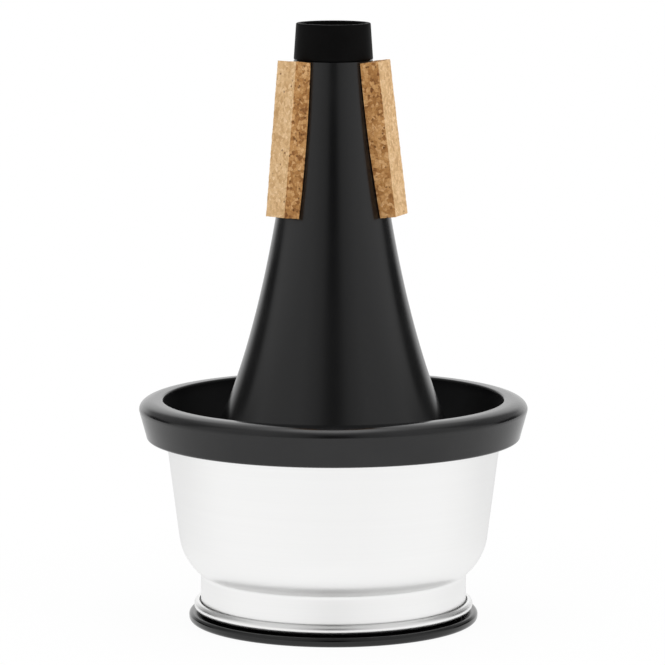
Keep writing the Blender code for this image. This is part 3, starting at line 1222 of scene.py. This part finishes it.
@dataclass
class Foot:
    """The end plate and the rubber ring that holds it in the body's wide end.

    Attributes:
        body: the body that they close.
        plate_wall: thickness of the plate.
        plate_corner: radius between the plate's floor and its rim.
        panel_radius: radius of the raised panel.
        panel_rise: rise of the panel.
        step_width: width of the slope round the panel.
        sole: thickness of the ring under the flange.
        ledge: width of the ledge under the plate.
        edge_round: rounding of the ring's outer edges.
        small_round: rounding of its other edges.
        plate: heights and radius of the plate's node.
        ring: heights and radius of the ring's node.
    """

    body: SpunBody
    plate_wall: float = 0.0008
    plate_corner: float = 0.0014
    panel_radius: float = 0.0240
    panel_rise: float = 0.0012
    step_width: float = 0.0030
    sole: float = 0.0008
    ledge: float = 0.0024
    edge_round: float = 0.0011
    small_round: float = 0.000275
    plate: Extent = field(default_factory=lambda: Extent.of("end_plate"))
    ring: Extent = field(default_factory=lambda: Extent.of("foot_ring"))

    def build_plate(self) -> Piece:
        """Spins the dished plate.

        Returns:
            The plate.
        """
        floor = self.plate.bottom
        corner = (self.plate.radius - self.plate_corner, floor + self.plate_corner)
        outline = Outline().to((self.plate.radius, self.plate.top))
        outline.arc(corner, self.plate_corner, 0.0, -90.0, steps=10)
        slope_foot = self.panel_radius + self.step_width
        steps = 20
        for index in range(steps + 1):
            share = index / steps
            rise = self.panel_rise * (1.0 - math.cos(math.pi * share)) / 2
            outline.to((slope_foot - self.step_width * share, floor + rise))
        middle = (0.0, floor + self.panel_rise)
        piece = BENCH.spin_sheet("end_plate_disc", outline.near(middle, steps=12).to(middle), self.plate_wall)
        return dress(piece, "end_plate", Body.MUTE, "black_aluminium", ENAMEL)

    def build_ring(self) -> Piece:
        """Turns the rubber ring's channel section.

        Returns:
            The ring.
        """
        groove_radius = self.body.extent.radius + FITS.seat
        groove_top = self.body.extent.bottom + self.body.wall + FITS.seat
        collar = self.body.skirt_radius + self.body.flange_fillet + FITS.seat
        inner = self.plate.radius - self.ledge
        shoulder = self.ring.radius - self.edge_round
        small = self.small_round
        upper = (shoulder, self.ring.top - self.edge_round)
        section = Outline().arc(upper, self.edge_round, 90.0, 0.0, steps=10)
        section.arc((shoulder, self.edge_round), self.edge_round, 0.0, -90.0, steps=10)
        section.arc((inner + small, small), small, -90.0, -180.0, steps=4)
        section.arc((inner + small, self.sole - small), small, 180.0, 90.0, steps=4)
        section.to((groove_radius, self.sole), (groove_radius, groove_top), (collar, groove_top))
        section.arc((collar + small, self.ring.top - small), small, 180.0, 90.0, steps=4)
        piece = BENCH.turn("foot_ring_rubber", section)
        return dress(piece, "foot_ring", Body.MUTE, "foot_rubber", FOOT_RUBBER)

    def build(self) -> list[Piece]:
        """Builds the plate and the ring."""
        return [self.build_plate(), self.build_ring()]


@dataclass
class NeckGrip:
    """Felt ring in the cup's neck, which grips the skirt.

    Attributes:
        body: the body that it slides on.
        lead_in: chamfer at each end of its bore.
        extent: heights and radius of its node.
    """

    body: SpunBody
    lead_in: float = 0.0004
    extent: Extent = field(default_factory=lambda: Extent.of("neck_grip_ring"))

    def build(self) -> Piece:
        """Turns the ring.

        Returns:
            The ring.
        """
        inner = self.body.skirt_radius + FITS.slide
        low, high, outer = self.extent.bottom, self.extent.top, self.extent.radius
        section = Outline().to((outer, high)).near((outer, low), steps=16)
        section.to((outer, low), (inner + self.lead_in, low), (inner, low + self.lead_in))
        section.to((inner, high - self.lead_in), (inner + self.lead_in, high))
        piece = BENCH.turn("neck_felt_ring", section)
        return dress(piece, "neck_grip_ring", Body.GRIP, "grey_felt", FELT)


@dataclass
class Cup:
    """The cup's aluminium spinning and the rubber edging on its mouth.

    Attributes:
        wall: thickness of the spinning.
        neck_radius: outer radius of the neck.
        bead_radius: radius of the bead's section.
        bead_lift: height of the bead's underside over the cup's lower edge.
        bead_stand_out: how far the bead stands out from the neck.
        bead_slot: width of the slot between the bead and the neck.
        slot_floor: height of the slot's floor over the cup's lower edge.
        slot_round: rounding of the bead's edge at the slot.
        neck_height: height of the neck over its lower edge.
        neck_fillet: radius between the neck and the bowl.
        bowl_arc: radius of the bowl's section.
        bowl_step: how much wider the wall's foot is than the neck.
        wall_height: height of the straight wall.
        wall_flare: how much wider the wall's top is than its foot.
        mouth_arc: radius of the mouth's section.
        mouth_sweep_deg: angle that the mouth turns out through.
        edging_underside: width of the edging outside the wall.
        edging_face: height of the edging's outer face.
        edging_lean: how far the face leans out.
        crown_height: height of the edging's crown.
        crown_outside: half width of the crown's outer side.
        crown_inside: width of its flat inner side.
        lip_round: rounding of the flat's inner edge.
        inside_from: how far a face looks inwards, from nought to one, where the dull copy with painted shade
            begins.
        skirt_wall: thickness of the edging's inner skirt.
        foot_round: rounding of the face's lower edge.
        extent: heights and radius of the spinning's node.
    """

    wall: float = 0.00085
    neck_radius: float = 0.03765
    bead_radius: float = 0.0013
    bead_lift: float = 0.0002
    bead_stand_out: float = 0.0019
    bead_slot: float = 0.0004
    slot_floor: float = 0.0010
    slot_round: float = 0.00012
    neck_height: float = 0.00965
    neck_fillet: float = 0.0020
    bowl_arc: float = 0.0158
    bowl_step: float = 0.0060
    wall_height: float = 0.0281
    wall_flare: float = 0.0036
    mouth_arc: float = 0.0140
    mouth_sweep_deg: float = 24.0
    edging_underside: float = 0.0056
    edging_face: float = 0.0084
    edging_lean: float = 0.0020
    crown_height: float = 0.0028
    crown_outside: float = 0.0044
    crown_inside: float = 0.0024
    lip_round: float = 0.0007
    inside_from: float = 0.8
    skirt_wall: float = 0.0009
    foot_round: float = 0.0008
    extent: Extent = field(default_factory=lambda: Extent.of("cup_shell"))

    @property
    def lean_deg(self) -> float:
        """Angle between the wall and upright."""
        return math.degrees(math.atan(self.wall_flare / self.wall_height))

    @property
    def mouth_radius(self) -> float:
        """Outer radius at the top of the straight wall."""
        return self.neck_radius + self.bowl_step + self.wall_flare

    @staticmethod
    def rise(reach: float, sideways: float) -> float:
        """Height between the centres of two circles that touch, a sideways distance apart."""
        return math.sqrt(reach**2 - sideways**2)

    def bowl(self) -> Point:
        """Centre of the bowl's arc.

        Returns:
            Its radius and height.
        """
        radius = self.neck_radius + self.bowl_step - self.bowl_arc * math.cos(math.radians(self.lean_deg))
        sideways = self.neck_radius + self.neck_fillet - radius
        neck_top = self.extent.bottom + self.neck_height
        return radius, neck_top + self.rise(self.bowl_arc + self.neck_fillet, sideways)

    def mouth(self) -> Point:
        """Centre of the mouth's arc.

        Returns:
            Its radius and height.
        """
        lean = math.radians(self.lean_deg)
        wall_top = self.bowl()[1] - self.bowl_arc * math.sin(lean) + self.wall_height
        return self.mouth_radius + self.mouth_arc * math.cos(lean), wall_top - self.mouth_arc * math.sin(lean)

    def shell_face(self, inwards: float) -> Outline:
        """A face of the spinning from the mouth's edge to the neck's top.

        Args:
            inwards: how far it lies inside the outer face.

        Returns:
            The face, as a chain.
        """
        lean = self.lean_deg
        bowl = self.bowl()
        neck_top = self.extent.bottom + self.neck_height
        fillet = (self.neck_radius + self.neck_fillet, neck_top)
        underside = math.degrees(math.atan2(fillet[1] - bowl[1], fillet[0] - bowl[0]))
        mouth_end = 180.0 - lean - self.mouth_sweep_deg
        face = Outline().arc(self.mouth(), self.mouth_arc + inwards, mouth_end, 180.0 - lean, steps=16)
        face.near(Outline.at(bowl, self.bowl_arc - inwards, -lean), steps=16)
        face.arc(bowl, self.bowl_arc - inwards, -lean, underside, steps=36).points.pop()
        return face.arc(fillet, self.neck_fillet + inwards, underside + 180.0, 180.0, steps=16)

    def shell_section(self) -> Outline:
        """Section of the spinning, whose lower edge is curled out into a bead.

        Returns:
            The section.
        """
        bottom = self.extent.bottom
        bead_middle = bottom + self.bead_lift + self.bead_radius
        bead = (self.neck_radius + self.bead_stand_out - self.bead_radius, bead_middle)
        edge_radius = self.neck_radius + self.bead_slot + self.slot_round
        edge = (edge_radius, bead[1] + self.rise(self.bead_radius - self.slot_round, bead[0] - edge_radius))
        edge_end = math.degrees(math.atan2(edge[1] - bead[1], edge[0] - bead[0]))
        section = self.shell_face(0.0)
        neck_foot = bottom + self.slot_floor
        section.near((self.neck_radius, neck_foot), steps=8)
        section.to((self.neck_radius, neck_foot), (self.neck_radius + self.bead_slot, neck_foot))
        section.arc(edge, self.slot_round, 180.0, edge_end, steps=5).points.pop()
        section.arc(bead, self.bead_radius, edge_end, -90.0, steps=40)
        underside = bead[0] - self.bead_radius / 2
        half = (underside - self.neck_radius + self.wall, bead_middle - bottom)
        section.oval((underside, bead_middle), half, -90.0, -180.0, steps=14)
        section.points.extend(reversed(self.shell_face(self.wall).points))
        return section

    def build_shell(self) -> Piece:
        """Spins the cup."""
        piece = BENCH.turn("cup_spinning", self.shell_section())
        return dress(piece, "cup_shell", Body.CUP, "spun_aluminium", BRIGHT_METAL)

    def edging_section(self) -> Outline:
        """Section of the edging, with the groove that the cup's mouth sits in.

        Returns:
            The section.
        """
        lean = self.lean_deg
        mouth = self.mouth()
        outer_leg = self.mouth_arc - FITS.seat
        inner_leg = self.mouth_arc + self.wall + FITS.seat
        groove_end = lean + self.mouth_sweep_deg + math.degrees(FITS.seat / self.mouth_arc)
        groove_mouth = Outline.at(mouth, outer_leg, 180.0 - lean)[1]
        foot_radius = self.mouth_radius + self.edging_underside
        face_top = (foot_radius + self.edging_lean, groove_mouth + self.edging_face)
        crown = (face_top[0] - self.crown_outside, face_top[1])
        slope = self.edging_lean / self.edging_face
        turn = math.degrees(math.atan(slope * self.crown_height / self.crown_outside))
        section = Outline().oval(crown, (self.crown_outside, self.crown_height), 90.0, -turn, steps=32)
        corner = (foot_radius - self.foot_round, groove_mouth + self.foot_round)
        section.arc(corner, self.foot_round, 0.0, -90.0, steps=10)
        section.arc(mouth, outer_leg, 180.0 - lean, 180.0 - groove_end, steps=14)
        section.arc(mouth, inner_leg, 180.0 - groove_end, 180.0 - lean, steps=14)
        inner = crown[0] - self.crown_inside
        lip = (inner + self.lip_round, crown[1] + self.crown_height - self.lip_round)
        section.to(Outline.at(mouth, inner_leg + self.skirt_wall, 180.0 - lean), (inner, crown[1]))
        return section.arc(lip, self.lip_round, 180.0, 90.0, steps=12)

    def build_edging(self) -> Piece:
        """Turns the rubber edging.

        Returns:
            The edging.
        """
        piece = BENCH.turn("cup_edging_rubber", self.edging_section())
        dress(piece, "cup_rim_edging", Body.CUP, "edging_rubber", EDGING_RUBBER, EDGING_PAINTED_SHADE)
        self.paint_inside(piece)
        return piece

    def paint_inside(self, piece: Piece) -> None:
        """Gives the edging's faces that look inwards the dull copy, whose weak reflections are painted shade
        inside the cup.

        Args:
            piece: the edging.
        """
        for face in piece.data.polygons:
            outwards = Vector((face.center.x, face.center.y, 0.0)).normalized()
            # Inward faces get the dull copy: painted shade inside the cup.
            face.material_index = 1 if face.normal.dot(outwards) < -self.inside_from else 0

    def build(self) -> list[Piece]:
        """Builds the spinning and its edging."""
        return [self.build_shell(), self.build_edging()]


# Studio


@dataclass(frozen=True)
class SoftBox:
    """A soft lamp, which leaves no image of itself in the mute.

    Attributes:
        name: its name.
        place: where it hangs.
        size: its width and height.
        watts: its power.
    """

    name: str
    place: Place
    size: Point
    watts: float

    def hang(self, aim: Vector) -> None:
        """Hangs the lamp, turned towards a point.

        Args:
            aim: the point.
        """
        lamp = bpy.data.lights.new(self.name, "AREA")
        lamp.shape = "RECTANGLE"
        lamp.size, lamp.size_y = self.size
        lamp.energy = self.watts
        holder = bpy.data.objects.new(self.name, lamp)
        bpy.context.scene.collection.objects.link(holder)
        holder.location = self.place
        holder.rotation_euler = (aim - Vector(self.place)).to_track_quat("-Z", "Y").to_euler()
        holder.visible_glossy = False


@dataclass
class Studio:
    """White floor, soft light and the camera.

    Attributes:
        boxes: the soft lamps.
        aim_height: height of the point that they are turned towards.
        floor_size: width of the floor.
        floor_grey: grey of the floor under the mute's shadow.
        floor_roughness: roughness of the floor.
        floor_shadow: share of the floor's look that takes shadows, beside the mute.
        shadow_reach: distances between which that share fades out.
        rear_level: level of the floor behind the mute, as reflections see it.
        rear_reach: distances behind the mute's axis between which the floor reaches that level.
        fill: level of the even light.
        front: levels that low reflections see, by the turn from the camera's direction in degrees.
        upper: levels that higher reflections see, by the same turn.
        ceiling: levels of the ceiling, by the angle from its middle in degrees.
        ceiling_tilt_deg: how far its middle lies behind the point over the mute.
        ceiling_squeeze: how much narrower it is sideways than from front to back.
        upper_from: heights, as degrees over the horizon, between which the upper levels begin.
        camera_place: where the camera stands.
        camera_tilt_deg: how far it looks down.
        lens_mm: focal length on the sensor.
        sensor_mm: width of the sensor.
    """

    boxes: tuple[SoftBox, ...] = (
        SoftBox("left_box", (-1.1, -0.9, 0.6), (0.8, 1.0), 7.2),
        SoftBox("right_box", (1.1, -0.9, 0.6), (0.8, 1.0), 10.2),
        SoftBox("top_box", (0.0, 0.15, 1.3), (1.0, 0.8), 6.5),
    )
    aim_height: float = 0.08
    floor_size: float = 16.0
    floor_grey: float = 0.86
    floor_roughness: float = 0.9
    floor_shadow: float = 0.05
    shadow_reach: Point = (0.06, 0.16)
    rear_level: float = 0.87
    rear_reach: Point = (-0.04, 0.10)
    fill: float = 0.55
    front: tuple[Point, ...] = (
        (0.0, 0.0), (7.0, 0.03), (13.0, 0.34), (19.0, 0.48), (40.0, 0.68), (70.0, 0.85),
        (98.0, 0.80), (108.0, 0.60), (116.0, 0.05), (136.0, 0.05), (146.0, 0.55), (156.0, 1.0),
    )
    upper: tuple[Point, ...] = (
        (0.0, 0.12), (7.0, 0.15), (13.0, 0.34), (19.0, 0.48), (40.0, 0.68), (90.0, 0.70),
        (108.0, 0.32), (154.0, 0.32), (166.0, 1.0),
    )
    ceiling: tuple[Point, ...] = (
        (0.0, 2.6), (12.0, 2.4), (20.0, 1.5), (28.0, 0.9), (38.0, 0.65), (50.0, 0.35), (60.0, 0.0),
    )
    ceiling_tilt_deg: float = 10.0
    ceiling_squeeze: float = 1.6
    upper_from: Point = (12.0, 19.0)
    camera_place: Place = (-0.00025, -1.1796, 0.2460)
    camera_tilt_deg: float = 7.917
    lens_mm: float = 228.7
    sensor_mm: float = 36.0

    @staticmethod
    def seen_directly(wiring: Wiring) -> Socket:
        """One where a ray comes from the camera, from a reflection or through glass, and nought elsewhere.

        Args:
            wiring: nodes of the material.

        Returns:
            The value.
        """
        path = wiring.add("ShaderNodeLightPath").outputs
        mirrored = wiring.sum("MAXIMUM", path["Is Glossy Ray"], path["Is Transmission Ray"])
        return wiring.sum("MAXIMUM", path["Is Camera Ray"], mirrored)

    def lay_floor(self) -> Piece:
        """Lays a white floor that keeps a faint shadow of the mute.

        Returns:
            The floor.
        """
        BENCH.clear()
        bpy.ops.mesh.primitive_plane_add(size=self.floor_size, location=(0.0, 0.0, 0.0))
        floor = bpy.context.active_object
        floor.name = "studio_floor"
        wiring = Coating("white_floor")
        wiring.surface(Base_Color=self.grey(self.floor_grey), Roughness=self.floor_roughness)
        place = wiring.place()
        loss = wiring.span(wiring.axes(place)["Y"], *self.rear_reach, 0.0, self.rear_level - 1.0)
        mirrored = wiring.add("ShaderNodeLightPath").outputs["Is Glossy Ray"]
        level = wiring.sum("MULTIPLY_ADD", mirrored, loss, 1.0)
        white = wiring.add("ShaderNodeEmission", {"Color": self.grey(1.0), "Strength": level}).outputs[0]
        plain = wiring.span(wiring.vector("LENGTH", place), *self.shadow_reach, 1.0 - self.floor_shadow, 1.0)
        share = wiring.sum("MULTIPLY", self.seen_directly(wiring), plain)
        blend = wiring.add("ShaderNodeMixShader", {0: share, 1: wiring.shader.outputs[0], 2: white})
        wiring.links.new(blend.outputs[0], wiring.nodes["Material Output"].inputs["Surface"])
        floor.data.materials.append(wiring.material)
        return floor

    def paint_room(self) -> None:
        """Surrounds the scene with a plain room, whose walls show only in reflections and beyond the floor.

        The light itself is even. Low reflections see a dark camera between pale walls, a dark gap at each
        side of the backdrop, and the white backdrop. Steep ones see the bright ceiling.
        """
        world = bpy.data.worlds.new("plain_room")
        bpy.context.scene.world = world
        world.use_nodes = True
        world.node_tree.nodes.clear()
        room = Wiring(world.node_tree)
        way = room.add("ShaderNodeTexCoord").outputs["Generated"]
        depth = room.axes(room.vector("NORMALIZE", room.vector("MULTIPLY", way, LEVEL)))["Y"]
        turn = room.span(depth, -1.0, 1.0, 0.0, 1.0)
        walls = [room.ramp(turn, self.stops(levels)) for levels in (self.front, self.upper)]
        edges = [math.sin(math.radians(limit)) for limit in self.upper_from]
        wall = room.mix(room.span(room.axes(way)["Z"], *edges, 0.0, 1.0), *walls)
        tilt = math.radians(self.ceiling_tilt_deg)
        middle = (0.0, math.sin(tilt), math.cos(tilt))
        spread = room.vector("MULTIPLY", way, (self.ceiling_squeeze, 1.0, 1.0))
        steep = room.vector("DOT_PRODUCT", room.vector("NORMALIZE", spread), middle)
        brightest = self.ceiling[0][1]
        glow = room.ramp(room.span(steep, 1.0, -1.0, 0.0, 1.0), self.stops(self.ceiling, 1.0 / brightest))
        glow = room.mix(1.0, glow, self.grey(brightest), "MULTIPLY")
        path = room.add("ShaderNodeLightPath").outputs
        lit = room.mix(path["Is Glossy Ray"], self.grey(self.fill), room.mix(1.0, wall, glow, "LIGHTEN"))
        seen = room.mix(path["Is Camera Ray"], lit, self.grey(1.0))
        background = room.add("ShaderNodeBackground", {"Color": seen})
        output = room.add("ShaderNodeOutputWorld")
        room.links.new(background.outputs[0], output.inputs["Surface"])

    @staticmethod
    def grey(level: float) -> tuple[float, float, float, float]:
        """A grey as a colour of four values."""
        return (level, level, level, 1.0)

    @staticmethod
    def stops(levels: tuple[Point, ...], share: float = 1.0) -> dict[float, Colour]:
        """Levels by turn in degrees, less a share, as stops of a ramp that runs with the turn's cosine."""
        return {(1.0 - math.cos(math.radians(turn))) / 2.0: (level * share,) * 3 for turn, level in levels}

    def place_camera(self) -> None:
        """Stands the camera where the photograph was taken from."""
        camera = bpy.data.cameras.new("photograph_view")
        camera.lens = self.lens_mm
        camera.sensor_width = self.sensor_mm
        holder = bpy.data.objects.new("photograph_view", camera)
        bpy.context.scene.collection.objects.link(holder)
        holder.location = self.camera_place
        holder.rotation_euler = (math.radians(90.0 - self.camera_tilt_deg), 0.0, 0.0)
        bpy.context.scene.camera = holder

    def build(self) -> None:
        """Sets up floor, room, lamps and camera."""
        self.lay_floor()
        self.paint_room()
        for box in self.boxes:
            box.hang(Vector((0.0, 0.0, self.aim_height)))
        self.place_camera()
        bpy.context.scene.view_settings.view_transform = "Standard"
        LOG.info("studio is set")


def main() -> None:
    """Dresses the frame piece by piece and sets up the studio."""
    logging.basicConfig(level=logging.INFO, format="%(name)s: %(message)s")
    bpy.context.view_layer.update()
    body = SpunBody()
    cone = body.build()
    ThroatSleeve(body).build()
    CorkSet(body, cone).build()
    Foot(body).build()
    NeckGrip(body).build()
    Cup().build()
    Studio().build()
    BENCH.clear()


if __name__ == "__main__":
    main()
